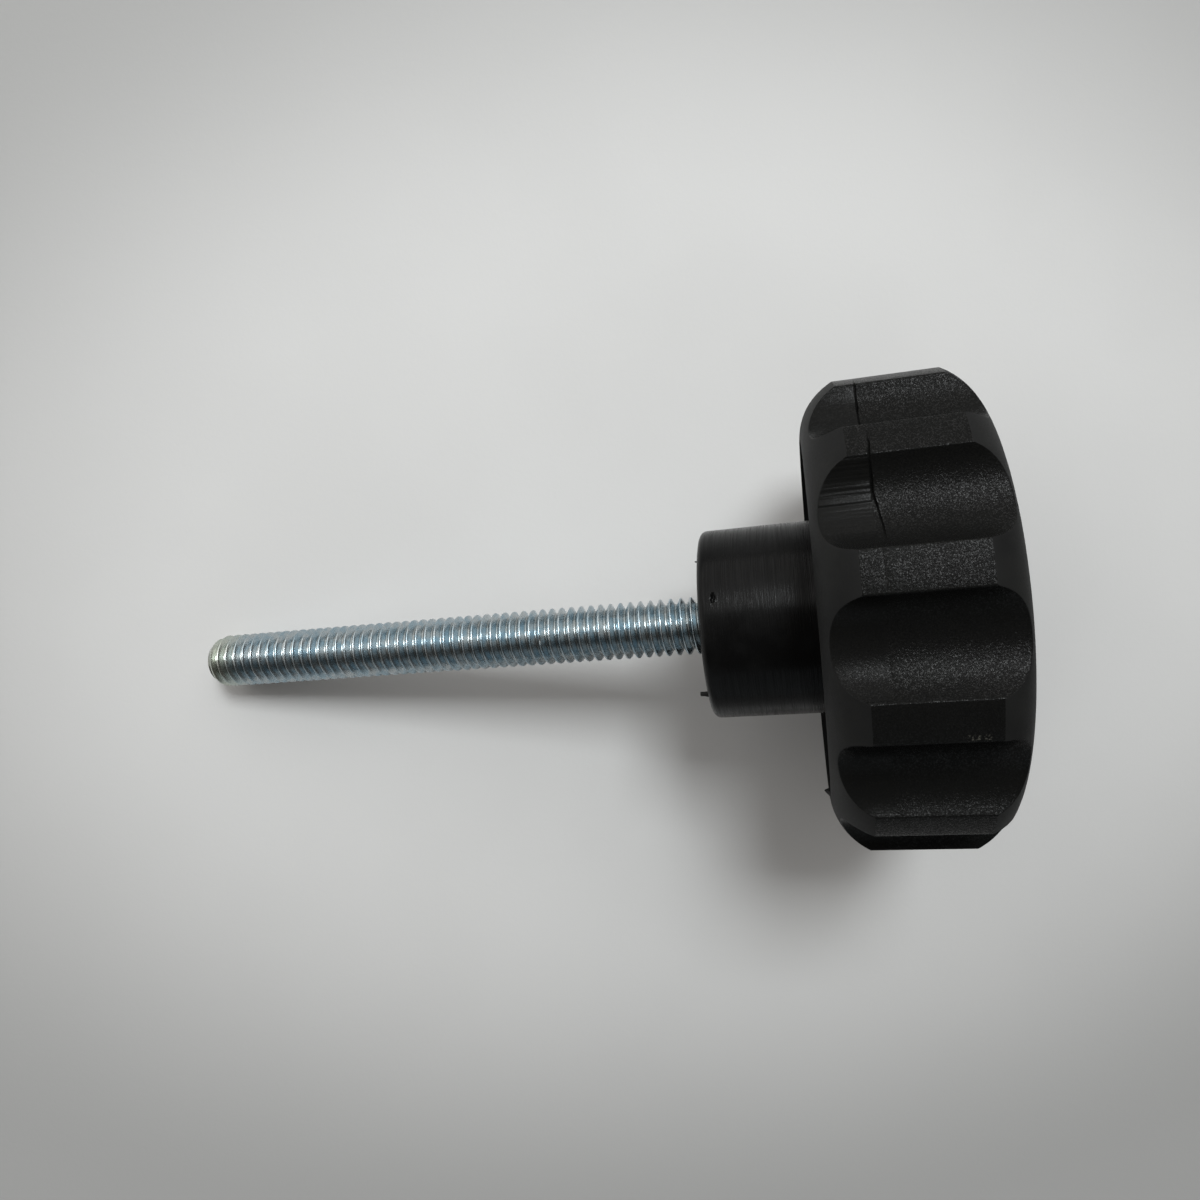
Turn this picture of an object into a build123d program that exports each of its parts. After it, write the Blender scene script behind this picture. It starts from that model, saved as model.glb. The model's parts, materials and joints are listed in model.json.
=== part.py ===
"""Clamping screw: a twelve-lobe hand knob moulded on a long 5/16-18 threaded stud.

The screw lies as it comes to rest, on the rim of its knob and the tip of its stud.
World frame: +Z up, +X from the stud's tip towards the knob, origin on the surface
under the middle of the whole screw. Stations are measured along the screw's axis
from the tip, radii from the axis, all in millimetres.
"""
from build123d import *
import os
from math import asin, atan, cos, degrees, radians, sin, sqrt, tan

# ---------------------------------------------------------------- stud
thread_major = 7.85         # crest diameter of a 5/16-18 UNC thread
stud_reach = 76.2           # bare thread between the tip and the hub
tip_chamfer = 1.1           # cone at the tip, full diameter to small face
tip_cone_angle = 45.0       # half angle of that cone

# ---------------------------------------------------------------- moulded-in end of the stud
thread_runout = 1.5         # thread fades into the plain blank just inside the hub's face
shank_diameter = 7.1        # plain blank behind the last turn of thread
shank_length = 7.5          # end of the thread to the hexagon head
head_across_flats = 12.7
head_thickness = 5.2

# ---------------------------------------------------------------- knob: hub
hub_diameter = 25.2
hub_length = 13.9
hub_draft = 0.2             # degrees, wider towards the rim
hub_edge_radius = 0.9

# ---------------------------------------------------------------- knob: rim
rim_diameter = 59.6         # over the lands of the lobes
rim_width = 20.9            # back edge to front face
shoulder_radius = 7.9       # rounding that leaves each face flush and runs up to the lands
shoulder_run = 4.3          # each face to the edge of the lands, along the axis
front_crown = 0.8           # rise of the front face at its middle
lobe_count = 12
land_width = 4.7            # flat stretch left between two flutes
flute_sink = 3.4            # lands to the floor of a flute

# ---------------------------------------------------------------- knob: hollow back
rim_wall = 3.1              # behind the floor of a flute
front_wall = 4.0
pocket_draft = 1.0          # degrees
pocket_corner = 1.2
rib_count = 6
rib_thickness = 2.4
rib_setback = 1.6           # ribs end this far inside the rim's back edge

# ---------------------------------------------------------------- worked-out sizes
thread_radius = thread_major / 2
tip_face_radius = thread_radius - tip_chamfer * tan(radians(tip_cone_angle))
rim_radius = rim_diameter / 2
hub_radius = hub_diameter / 2
hub_root_radius = hub_radius + hub_length * tan(radians(hub_draft))
lobe_step = 360 / lobe_count

hub_face = stud_reach
thread_end = hub_face + thread_runout
head_seat = thread_end + shank_length
rim_back = hub_face + hub_length
rim_front = rim_back + rim_width

# The lands cut the shoulders off before their rounding is complete.
shoulder_rise = sqrt(shoulder_radius ** 2 - (shoulder_radius - shoulder_run) ** 2)
shoulder_centre_radius = rim_radius - shoulder_rise
land_back = rim_back + shoulder_run
land_front = rim_front - shoulder_run

# A flute spans the arc that the lands leave, and its floor gives its radius.
flute_floor_radius = rim_radius - flute_sink
land_half_angle = degrees(asin(land_width / 2 / rim_radius))
flute_half_angle = lobe_step / 2 - land_half_angle
flute_edge_height = rim_radius * cos(radians(flute_half_angle))
flute_half_chord = rim_radius * sin(radians(flute_half_angle))
flute_depth = flute_edge_height - flute_floor_radius
flute_radius = (flute_half_chord ** 2 + flute_depth ** 2) / (2 * flute_depth)
flute_centre_radius = flute_floor_radius + flute_radius

pocket_radius = flute_floor_radius - rim_wall
pocket_depth = rim_width - front_wall
crown_radius = (shoulder_centre_radius ** 2 + front_crown ** 2) / (2 * front_crown)

# ---------------------------------------------------------------- lying at rest
# One flute faces the surface, so the knob stands on the hub-side ends of the two
# lands beside it, and the stud stands on the full-diameter edge behind its chamfer.
rest_angle = degrees(atan((flute_edge_height - thread_radius) / (land_back - tip_chamfer)))
rest_sin = sin(radians(rest_angle))
rest_cos = cos(radians(rest_angle))
tip_height = thread_radius * rest_cos - tip_chamfer * rest_sin
lowest_x = -tip_face_radius * rest_sin
highest_x = ((rim_front - shoulder_radius) * rest_cos + shoulder_centre_radius * rest_sin
             + shoulder_radius)
tip_x = -(lowest_x + highest_x) / 2

screw_direction = Vector(rest_cos, 0, rest_sin)
screw_axis = Axis((tip_x, 0, tip_height), tuple(screw_direction))
# Meridian plane: local X is the station, local Y the radius.
meridian = Plane(origin=screw_axis.position, x_dir=screw_direction, z_dir=(0, -1, 0))
# Cross-section plane at the tip: local X points down and back, at the flute below.
section = Plane(origin=screw_axis.position, x_dir=(rest_sin, 0, -rest_cos), z_dir=screw_direction)


# ================================================================ threaded stud
with BuildPart() as threaded_stud:
    with BuildSketch(meridian):
        with BuildLine():
            Polyline(
                (0, 0),
                (0, tip_face_radius),
                (tip_chamfer, thread_radius),
                (hub_face, thread_radius),
                (thread_end, shank_diameter / 2),
                (head_seat, shank_diameter / 2),
                (head_seat, 0),
                close=True,
            )
        make_face()
    revolve(axis=screw_axis)
    # Hexagon head that keeps the stud from turning or pulling out of the moulding.
    with BuildSketch(section.offset(head_seat)):
        RegularPolygon(head_across_flats / 2, 6, major_radius=False)
    extrude(amount=head_thickness)

threaded_stud.part.label = "threaded_stud"

# ================================================================ knob
with BuildPart() as knob:
    # Hub and rim in one turned outline.
    with BuildSketch(meridian):
        with BuildLine():
            Polyline(
                (hub_face, 0),
                (hub_face, hub_radius),
                (rim_back, hub_root_radius),
                (rim_back, shoulder_centre_radius),
            )
            RadiusArc(
                (rim_back, shoulder_centre_radius),
                (land_back, rim_radius),
                shoulder_radius,
            )
            Line((land_back, rim_radius), (land_front, rim_radius))
            RadiusArc(
                (land_front, rim_radius),
                (rim_front, shoulder_centre_radius),
                shoulder_radius,
            )
            RadiusArc(
                (rim_front, shoulder_centre_radius),
                (rim_front + front_crown, 0),
                crown_radius,
            )
            Line((rim_front + front_crown, 0), (hub_face, 0))
        make_face()
    revolve(axis=screw_axis)
    fillet(knob.edges().filter_by(GeomType.CIRCLE).sort_by(screw_axis)[0], hub_edge_radius)

    # Flutes between the lobes, cut parallel to the axis through both shoulders.
    with BuildSketch(section.offset(rim_back)):
        with PolarLocations(flute_centre_radius, lobe_count):
            Circle(flute_radius)
    extrude(amount=rim_width, mode=Mode.SUBTRACT)

    # Hollow back: one pocket between each two ribs.
    with BuildSketch(section.offset(rim_back)) as pockets:
        Circle(pocket_radius)
        Circle(hub_root_radius, mode=Mode.SUBTRACT)
        with PolarLocations(pocket_radius / 2, rib_count, start_angle=lobe_step / 2):
            Rectangle(pocket_radius + rib_thickness, rib_thickness, mode=Mode.SUBTRACT)
        fillet(pockets.vertices(), pocket_corner)
    extrude(amount=pocket_depth, taper=pocket_draft, mode=Mode.SUBTRACT)

    # The ribs stay a little below the rim's back edge.
    with BuildSketch(section.offset(rim_back)):
        Circle(pocket_radius)
        Circle(hub_root_radius, mode=Mode.SUBTRACT)
    extrude(amount=rib_setback, mode=Mode.SUBTRACT)

    # Seat of the stud, moulded tight round its shank and head.
    add(threaded_stud.part, mode=Mode.SUBTRACT)

knob.part.label = "knob"

# ================================================================ files
os.makedirs("parts", exist_ok=True)
export_step(threaded_stud.part, "parts/threaded_stud.step")
export_step(knob.part, "parts/knob.step")

print(f"rest angle {rest_angle:.2f} deg, flute radius {flute_radius:.2f} mm")
print(f"tip at x {tip_x:.2f}, z {tip_height:.2f} mm")
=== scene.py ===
"""Clamping screw: a twelve-lobe nylon hand knob moulded on a long plated 5/16-18 stud.

The screw lies on a pale bench top, on the rim of its knob and the tip of its stud.
Both pieces are modelled upright on their own axis, with stations along local Z from
the stud's tip and angles about it from the side that faces the bench, and are then
laid down in the place that the frame's record gives. Sizes are in millimetres, and
everything in the scene is in metres.
"""
import json
import logging
import math
from collections.abc import Callable, Iterator
from contextlib import contextmanager
from dataclasses import dataclass, field
from enum import Enum
from typing import ClassVar

import bpy
import numpy as np
from mathutils import Matrix, Vector, noise


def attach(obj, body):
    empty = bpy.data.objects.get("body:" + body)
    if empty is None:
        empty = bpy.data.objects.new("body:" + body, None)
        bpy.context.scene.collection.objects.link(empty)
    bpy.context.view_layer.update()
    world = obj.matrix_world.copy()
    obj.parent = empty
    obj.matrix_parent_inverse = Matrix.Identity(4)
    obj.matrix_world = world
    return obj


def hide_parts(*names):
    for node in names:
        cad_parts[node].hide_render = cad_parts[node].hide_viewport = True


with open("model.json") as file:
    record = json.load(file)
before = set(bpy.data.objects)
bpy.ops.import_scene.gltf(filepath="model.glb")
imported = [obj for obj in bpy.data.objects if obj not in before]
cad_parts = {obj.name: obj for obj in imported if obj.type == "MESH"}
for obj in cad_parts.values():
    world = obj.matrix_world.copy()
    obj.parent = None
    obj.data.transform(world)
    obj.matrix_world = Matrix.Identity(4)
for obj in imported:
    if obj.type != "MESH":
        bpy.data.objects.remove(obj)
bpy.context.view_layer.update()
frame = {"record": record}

log = logging.getLogger("clamping_screw")

MM = 0.001
TINY = 1e-7
WELD = 0.002 * MM
ON_AXIS = 1e-6
FULL_TURN = 2.0 * math.pi
QUARTER_TURN = math.pi / 2
UP = Vector((0.0, 0.0, 1.0))

Piece = bpy.types.Object
Socket = bpy.types.NodeSocket
Material = bpy.types.Material
Colour = tuple[float, float, float, float]
Triple = tuple[float, float, float]
Pair = tuple[float, float]


# ---------------------------------------------------------------------------
# Working in the modeller
# ---------------------------------------------------------------------------

def deselect_all() -> None:
    """Deselect every object."""
    bpy.ops.object.select_all(action="DESELECT")


def pick(piece: Piece) -> None:
    """Make one object the active one and the only one selected."""
    deselect_all()
    piece.select_set(True)
    bpy.context.view_layer.objects.active = piece


@contextmanager
def editing(piece: Piece, mode: str = "VERT") -> Iterator[None]:
    """Edit one object's mesh, all of it selected at first.

    Args:
        piece: the object to edit.
        mode: VERT, EDGE or FACE, what the operators select by.
    """
    pick(piece)
    bpy.ops.object.mode_set(mode="EDIT")
    bpy.ops.mesh.select_mode(type=mode)
    bpy.ops.mesh.select_all(action="SELECT")
    try:
        yield
    finally:
        bpy.ops.object.mode_set(mode="OBJECT")


def select_where(piece: Piece, kind: str, test: Callable[[Vector, Vector], bool]) -> None:
    """Select faces or edges of the object in edit mode by their place.

    Args:
        piece: the object being edited.
        kind: FACE or EDGE.
        test: takes the centre and the normal of a face, or the middle and the
            direction of an edge, and says whether it is wanted.
    """
    bpy.ops.mesh.select_mode(type=kind)
    bpy.ops.mesh.select_all(action="DESELECT")
    bpy.ops.object.mode_set(mode="OBJECT")
    mesh = piece.data
    if kind == "FACE":
        for face in mesh.polygons:
            face.select = test(face.center, face.normal)
    else:
        for edge in mesh.edges:
            start, end = (mesh.vertices[i].co for i in edge.vertices)
            edge.select = test((start + end) / 2, (end - start).normalized())
    bpy.ops.object.mode_set(mode="EDIT")


def cut(place: Vector | Triple, normal: Vector, **keep: bool) -> None:
    """Cut the whole mesh in edit mode along a plane.

    Args:
        place: a point of the plane, in metres.
        normal: the plane's normal.
        keep: which side is cleared, and whether the cut is filled.
    """
    bpy.ops.mesh.select_all(action="SELECT")
    bpy.ops.mesh.bisect(plane_co=place, plane_no=normal, threshold=TINY, **keep)


def soften(size: float, segments: int, **settings: bool) -> None:
    """Bevel the selected edges in edit mode.

    Args:
        size: the bevel's width, in millimetres.
        segments: how many facets it has.
        settings: more of the operator's settings.
    """
    bpy.ops.mesh.bevel(offset=size * MM, segments=segments, affect="EDGES", **settings)


def apply_modifier(piece: Piece, kind: str, **settings: object) -> None:
    """Add a modifier with its settings and apply it at once.

    Args:
        piece: the object to shape.
        kind: the modifier's type.
        settings: its properties.
    """
    pick(piece)
    modifier = piece.modifiers.new(kind.lower(), kind)
    for name, value in settings.items():
        setattr(modifier, name, value)
    bpy.ops.object.modifier_apply(modifier=modifier.name)


def combine(piece: Piece, tool: Piece, operation: str) -> None:
    """Cut or join a piece with a tool, and remove the tool.

    Args:
        piece: the piece that stays.
        tool: the solid that acts on it.
        operation: DIFFERENCE or UNION.
    """
    apply_modifier(piece, "BOOLEAN", object=tool, operation=operation, solver="EXACT")
    bpy.data.objects.remove(tool, do_unlink=True)


def close_up(piece: Piece) -> None:
    """Merge the doubles of a closed shape and turn its faces outwards."""
    with editing(piece):
        bpy.ops.mesh.remove_doubles(threshold=WELD)
        bpy.ops.mesh.normals_make_consistent(inside=False)


def add_solid(add: Callable[..., set], **settings: object) -> Piece:
    """Add a primitive and keep its place and turn in its mesh.

    Args:
        add: the primitive's operator.
        settings: the operator's settings.

    Returns:
        The new object.
    """
    deselect_all()
    add(**settings)
    bpy.ops.object.transform_apply(location=True, rotation=True, scale=True)
    return bpy.context.object


def add_sheet(name: str, points: np.ndarray) -> Piece:
    """Add a grid and put its points in their places.

    Args:
        name: the new object's name.
        points: rows, columns and coordinates, in metres.

    Returns:
        The sheet, its faces in rows.
    """
    rows, columns = points.shape[0] - 1, points.shape[1] - 1
    deselect_all()
    bpy.ops.mesh.primitive_grid_add(x_subdivisions=columns, y_subdivisions=rows, size=MM)
    sheet = bpy.context.object
    sheet.name = sheet.data.name = name
    sheet.data.vertices.foreach_set("co", points.reshape(-1).astype(np.float32))
    sheet.data.update()
    return sheet


def polar(place: Vector) -> Triple:
    """Give a point's distance from local Z, its angle and its station."""
    x, y, z = place / MM
    return math.hypot(x, y), math.atan2(y, x) % FULL_TURN, z


def set_radius(vertex: bpy.types.MeshVertex, radius: float, wanted: float) -> None:
    """Move a point straight out from local Z or in towards it.

    Args:
        vertex: the point.
        radius: its distance now.
        wanted: its distance afterwards.
    """
    vertex.co.x *= wanted / radius
    vertex.co.y *= wanted / radius


# ---------------------------------------------------------------------------
# Where the screw lies
# ---------------------------------------------------------------------------

@dataclass(frozen=True)
class ScrewAxis:
    """The screw's own axis as it lies, from the stud's tip towards the knob."""

    tip: Vector
    along: Vector

    @classmethod
    def from_record(cls, record: dict, chamfer: float) -> "ScrewAxis":
        """Take the axis from the mount that stands for the stud's thread.

        Args:
            record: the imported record.
            chamfer: the length of the tip's cone, which the mount leaves out.

        Returns:
            The axis of the screw at rest.
        """
        mount = next(m for m in record["mounts"] if m["name"] == "stud_thread")
        along = -Vector(mount["axis"]).normalized()
        half = mount["dims"]["length_mm"] * MM / 2
        return cls(Vector(mount["pos_m"]) - along * (half + chamfer * MM), along)

    def matrix(self) -> Matrix:
        """Give the turn and move that lay an upright piece down.

        Returns:
            A matrix with local Z along the screw and local X towards the bench.
        """
        side = Vector((0.0, 1.0, 0.0))
        towards_bench = side.cross(self.along)
        turn = Matrix((towards_bench, side, self.along)).transposed().to_4x4()
        return Matrix.Translation(self.tip) @ turn

    def lay_down(self, piece: Piece, name: str, crease: float) -> None:
        """Finish an upright piece and put it in its place, with the place in its mesh.

        Args:
            piece: the finished shape.
            name: its name.
            crease: the angle, in degrees, above which an edge stays sharp.
        """
        piece.name = piece.data.name = name
        pick(piece)
        bpy.ops.object.shade_smooth_by_angle(angle=math.radians(crease))
        piece.matrix_world = self.matrix()
        bpy.ops.object.transform_apply(location=True, rotation=True, scale=True)


# ---------------------------------------------------------------------------
# Finishes
# ---------------------------------------------------------------------------

class NodeBench:
    """Adds shader nodes to one material and joins them up."""

    def __init__(self, name: str) -> None:
        """Start a material with its shader and nothing joined to it."""
        self.material = bpy.data.materials.new(name)
        self.material.use_nodes = True
        self.tree = self.material.node_tree
        self.shader = self.tree.nodes["Principled BSDF"]

    def join(self, value: object, socket: Socket) -> None:
        """Feed a socket with a link or a plain value."""
        if isinstance(value, Socket):
            self.tree.links.new(value, socket)
        else:
            socket.default_value = value

    def feed(self, **values: object) -> None:
        """Feed the shader's inputs, each named with _ for a space."""
        for name, value in values.items():
            self.join(value, self.shader.inputs[name.replace("_", " ")])

    def node(self, kind: str, **values: object) -> bpy.types.Node:
        """Add a node and feed its inputs.

        Args:
            kind: the node's type.
            values: links or plain values by the inputs' names.

        Returns:
            The node.
        """
        node = self.tree.nodes.new("ShaderNode" + kind)
        for name, value in values.items():
            self.join(value, node.inputs[name])
        return node

    def math(self, operation: str, *values: object) -> Socket:
        """Work out a number.

        Args:
            operation: the Math node's operation.
            values: its inputs, links or numbers.

        Returns:
            The result's socket.
        """
        node = self.node("Math")
        node.operation = operation
        for value, socket in zip(values, node.inputs):
            self.join(value, socket)
        return node.outputs[0]

    def product(self, first: object, *others: object) -> Socket:
        """Multiply links and numbers."""
        for other in others:
            first = self.math("MULTIPLY", first, other)
        return first

    def object_place(self) -> Socket:
        """Give the place in the object's own coordinates, in metres."""
        return self.node("TexCoord").outputs["Object"]

    def screw_place(self, axis: ScrewAxis) -> Socket:
        """Give the place on the screw in its own frame, in millimetres.

        Args:
            axis: the screw's axis.

        Returns:
            A vector with the station as Z.
        """
        turn = self.node(
            "Mapping", Location=axis.tip, Rotation=axis.matrix().to_euler(), Scale=(MM, MM, MM),
            Vector=self.object_place(),
        )
        turn.vector_type = "TEXTURE"
        return turn.outputs["Vector"]

    def noise(
        self, vector: Socket, scale: float, detail: float = 2.0, roughness: float = 0.5,
        stretch: Triple | None = None,
    ) -> Socket:
        """Give a noise value.

        Args:
            vector: where it is read.
            scale: how many grains to a unit of the vector.
            detail: how many finer layers it has.
            roughness: how strong they are.
            stretch: how the vector is scaled first.

        Returns:
            The value's socket.
        """
        if stretch is not None:
            vector = self.node("Mapping", Scale=stretch, Vector=vector).outputs["Vector"]
        node = self.node(
            "TexNoise", Scale=scale, Detail=detail, Roughness=roughness, Vector=vector
        )
        return node.outputs["Fac"]

    def craters(self, vector: Socket, scale: float) -> Socket:
        """Give the height of a field of small rounded craters."""
        node = self.node("TexVoronoi", Scale=scale, Vector=vector)
        node.feature = "SMOOTH_F1"
        return node.outputs["Distance"]

    def speckle(self, vector: Socket, scale: float) -> Socket:
        """Give each small cell a chance value of its own."""
        return self.split(self.node("TexVoronoi", Scale=scale, Vector=vector).outputs["Color"])[0]

    def band(
        self, value: Socket, low: float, high: float, out_low: float = 0.0, out_high: float = 1.0
    ) -> Socket:
        """Map a value's range smoothly to another.

        Args:
            value: the value to map.
            low: where the ramp starts.
            high: where it ends.
            out_low: the result at the start.
            out_high: the result at the end.

        Returns:
            The mapped value, clamped.
        """
        node = self.node("MapRange", Value=value)
        node.interpolation_type = "SMOOTHSTEP"
        for socket, number in zip(node.inputs[1:5], (low, high, out_low, out_high)):
            socket.default_value = number
        return node.outputs["Result"]

    def below(self, value: Socket, low: float, high: float) -> Socket:
        """Give 1 below a range and 0 above it."""
        return self.band(value, low, high, 1.0, 0.0)

    def blend(self, share: object, first: object, second: object) -> Socket:
        """Blend two colours.

        Args:
            share: how much of the second.
            first: a colour or link.
            second: a colour or link.

        Returns:
            The colour's socket.
        """
        node = self.node("Mix")
        node.data_type = "RGBA"
        for value, index in ((share, 0), (first, 6), (second, 7)):
            self.join(value, node.inputs[index])
        return node.outputs[2]

    def relief(self, height: Socket, depth: float, **under: Socket) -> Socket:
        """Turn a height into fine relief.

        Args:
            height: the height, from 0 to 1.
            depth: what 1 stands for, in millimetres.
            under: as Normal, relief that this one lies on.

        Returns:
            The normal's socket.
        """
        node = self.node("Bump", Strength=1.0, Distance=depth * MM, Height=height, **under)
        return node.outputs["Normal"]

    def split(self, vector: Socket) -> tuple[Socket, ...]:
        """Give the three parts of a vector."""
        return tuple(self.node("SeparateXYZ", Vector=vector).outputs)

    def radius(self, x: Socket, y: Socket) -> Socket:
        """Give the distance from the Z axis."""
        return self.math("SQRT", self.math("ADD", self.product(x, x), self.product(y, y)))


class ScrewFinish:
    """A finish that lies in the screw's own frame."""

    name: ClassVar[str]

    def dress(self, bench: NodeBench, place: Socket) -> None:
        """Join the finish's nodes to the shader.

        Args:
            bench: the material's nodes.
            place: the place on the screw.
        """
        raise NotImplementedError

    def make(self, axis: ScrewAxis) -> Material:
        """Build the material.

        Args:
            axis: the screw's axis, along and round which the finish lies.

        Returns:
            The material.
        """
        bench = NodeBench(self.name)
        self.dress(bench, bench.screw_place(axis))
        return bench.material


@dataclass(frozen=True)
class SparkErodedNylon(ScrewFinish):
    """Glass-filled nylon that copies a spark-eroded mould: dark, with glinting grain.

    Turns round the axis are in radians, and each is a range over which a mark comes
    or goes.
    """

    name: ClassVar[str] = "nylon_spark_eroded"
    deep: Colour = (0.0036, 0.0036, 0.0035, 1.0)
    proud: Colour = (0.0085, 0.0085, 0.008, 1.0)
    grain_per_mm: float = 4.4
    grain_depth: float = 0.034
    glints_per_mm: float = 8.8
    glint_chance: Pair = (0.58, 0.97)
    glint_shine: Pair = (0.03, 0.165)
    smooth_shine: float = 0.06
    parting: Pair = (96.45, 96.75)
    below_lands: Pair = (29.35, 29.6)
    upper_side: Pair = (1.75, 1.85)
    torn_from: Pair = (2.25, 2.40)
    torn_to: Pair = (2.62, 2.72)
    ridge_stretch: Triple = (1.7, 1.7, 0.06)
    ridge_depth: float = 0.17
    whitened: Colour = (0.055, 0.053, 0.045, 1.0)
    scuff_turn: Pair = (-2.834, -2.802)
    scuff_station: Pair = (102.8, 105.6)

    def dress(self, bench: NodeBench, place: Socket) -> None:
        """Join the grain, its glints, and the smoother ridged nylon behind the parting line."""
        x, y, station = bench.split(place)
        turn = bench.math("ARCTAN2", y, x)
        fine = bench.noise(place, self.grain_per_mm * 2.2, 2.0, 0.6)
        craters = bench.product(bench.craters(place, self.grain_per_mm), 0.8)
        behind = bench.product(
            bench.below(station, *self.parting),
            bench.below(bench.radius(x, y), *self.below_lands),
            bench.band(bench.math("ABSOLUTE", turn), *self.upper_side),
        )
        torn = bench.product(
            bench.band(turn, *self.torn_from, 0.2, 1.0), bench.below(turn, *self.torn_to),
            bench.band(turn, *self.upper_side),
        )
        ridges = bench.noise(place, 1.0, 1.0, 0.4, self.ridge_stretch)
        ridged = bench.relief(bench.product(ridges, behind, torn), self.ridge_depth)
        grained = bench.math("SUBTRACT", 1.0, bench.product(behind, 0.6))
        grain = bench.product(bench.math("ADD", craters, fine), grained)
        broad = bench.noise(place, 0.12, 3.0)
        tone = bench.product(
            bench.band(fine, 0.3, 0.75), bench.band(broad, 0.3, 0.7, 0.75, 1.0)
        )
        smooth = bench.product(behind, bench.math("MULTIPLY_ADD", torn, 0.6, 0.4))
        glints = bench.band(
            bench.speckle(place, self.glints_per_mm), *self.glint_chance, *self.glint_shine
        )
        shine = bench.product(glints, bench.math("SUBTRACT", 1.0, smooth))
        bench.feed(
            Base_Color=bench.blend(
                self.scuff(bench, place, turn, station),
                bench.blend(tone, self.deep, self.proud), self.whitened,
            ),
            Roughness=bench.band(fine, 0.3, 0.7, 0.32, 0.22),
            Normal=bench.relief(grain, self.grain_depth, Normal=ridged),
            Specular_IOR_Level=bench.math("ADD", shine, bench.product(smooth, self.smooth_shine)),
        )

    def scuff(self, bench: NodeBench, place: Socket, turn: Socket, station: Socket) -> Socket:
        """Mark where one land's edge has been knocked and whitened.

        Args:
            bench: the material's nodes.
            place: the place on the screw.
            turn: the angle round the axis.
            station: the distance along it.

        Returns:
            The share of whitened nylon.
        """
        chips = bench.band(bench.noise(place, 3.8, 2.0, 0.6), 0.58, 0.62)
        for value, (low, high), fade in (
            (turn, self.scuff_turn, 0.008), (station, self.scuff_station, 0.3)
        ):
            chips = bench.product(
                chips, bench.band(value, low, low + fade), bench.below(value, high - fade, high)
            )
        return chips


@dataclass(frozen=True)
class SatinNylon(ScrewFinish):
    """The same nylon from a mould that was only stoned smooth, the marks running round."""

    name: ClassVar[str] = "nylon_satin"
    base: Colour = (0.0085, 0.0085, 0.0085, 1.0)
    # the colour of the satin's faint real wear
    wear_and_edge_highlight: Colour = (0.0125, 0.0125, 0.012, 1.0)
    mark_stretch: Triple = (0.25, 0.25, 4.0)

    def dress(self, bench: NodeBench, place: Socket) -> None:
        """Join the stoning marks and the faint wear."""
        marks = bench.noise(place, 1.0, 3.0, 0.6, self.mark_stretch)
        fine = bench.noise(place, 4.5, 2.0, 0.6)
        wear = bench.band(bench.noise(place, 0.15, 3.0), 0.35, 0.75)
        bench.feed(
            Base_Color=bench.blend(wear, self.base, self.wear_and_edge_highlight),
            Roughness=bench.band(fine, 0.25, 0.75, 0.60, 0.52),
            Normal=bench.relief(bench.math("ADD", bench.product(marks, 0.6), fine), 0.008),
            Specular_IOR_Level=0.09,
        )


@dataclass(frozen=True)
class DrawnNylon(ScrewFinish):
    """The hub's skin: glossier, with fine lines drawn round it by the turned mould, and a painted
    highlight on its rounded free edge.
    """

    name: ClassVar[str] = "nylon_hub"
    base: Colour = (0.003, 0.003, 0.003, 1.0)
    rubbed: Colour = (0.005, 0.005, 0.005, 1.0)
    # painted highlight: the lighter colour of the hub's rounded free edge
    wear_and_edge_highlight: Colour = (0.020, 0.020, 0.0195, 1.0)
    painted_highlight_stations: Pair = (76.25, 76.95)
    line_stretch: Triple = (0.10, 0.10, 7.5)
    scratch_stretch: Triple = (0.5, 0.5, 14.0)

    def dress(self, bench: NodeBench, place: Socket) -> None:
        """Join the drawn lines, the scratches and the painted highlight on the rounded edge."""
        lines = bench.noise(place, 1.0, 3.0, 0.65, self.line_stretch)
        scratches = bench.noise(place, 1.0, 1.0, 0.5, self.scratch_stretch)
        rub = bench.band(bench.noise(place, 0.3, 3.0), 0.4, 0.75)
        # painted highlight: lighter colour over the stations of the rounded free edge
        edge_highlight_share = bench.below(bench.split(place)[2], *self.painted_highlight_stations)
        height = bench.math("ADD", lines, bench.product(scratches, 0.4))
        bench.feed(
            Base_Color=bench.blend(edge_highlight_share, bench.blend(rub, self.base, self.rubbed), self.wear_and_edge_highlight),
            Roughness=bench.band(lines, 0.35, 0.65, 0.30, 0.18),
            Normal=bench.relief(height, 0.02),
            Specular_IOR_Level=bench.band(lines, 0.38, 0.62, 0.072, 0.112),
        )


@dataclass(frozen=True)
class BluePassivatedZinc(ScrewFinish):
    """Bright zinc plating under a thin blue passivation, a little yellower at the tip."""

    name: ClassVar[str] = "zinc_blue_passivated"
    bright: Colour = (0.445, 0.485, 0.50, 1.0)
    blue: Colour = (0.315, 0.41, 0.465, 1.0)
    straw: Colour = (0.56, 0.58, 0.49, 1.0)
    grime: Colour = (0.17, 0.17, 0.155, 1.0)
    tip_end: Pair = (1.0, 7.0)
    roots: Pair = (3.08, 3.28)
    drawn_stretch: Triple = (0.4, 0.4, 9.0)

    def dress(self, bench: NodeBench, place: Socket) -> None:
        """Join the clouded plating, the grime in the roots and the drawn marks."""
        x, y, station = bench.split(place)
        cloud = bench.noise(place, 0.55, 3.0, 0.6)
        speck = bench.noise(place, 5.0, 2.0, 0.6)
        drawn = bench.noise(place, 1.0, 2.0, 0.6, self.drawn_stretch)
        plated = bench.blend(bench.band(cloud, 0.35, 0.65), self.bright, self.blue)
        plated = bench.blend(bench.band(station, *self.tip_end, 0.75, 0.0), plated, self.straw)
        in_root = bench.product(
            bench.below(bench.radius(x, y), *self.roots), bench.band(speck, 0.3, 0.6, 0.25, 0.7)
        )
        height = bench.math("ADD", bench.product(speck, 0.5), drawn)
        bench.feed(
            Base_Color=bench.blend(in_root, plated, self.grime),
            Roughness=bench.band(speck, 0.3, 0.75, 0.24, 0.33),
            Normal=bench.relief(height, 0.0022),
            Metallic=1.0,
        )


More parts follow.
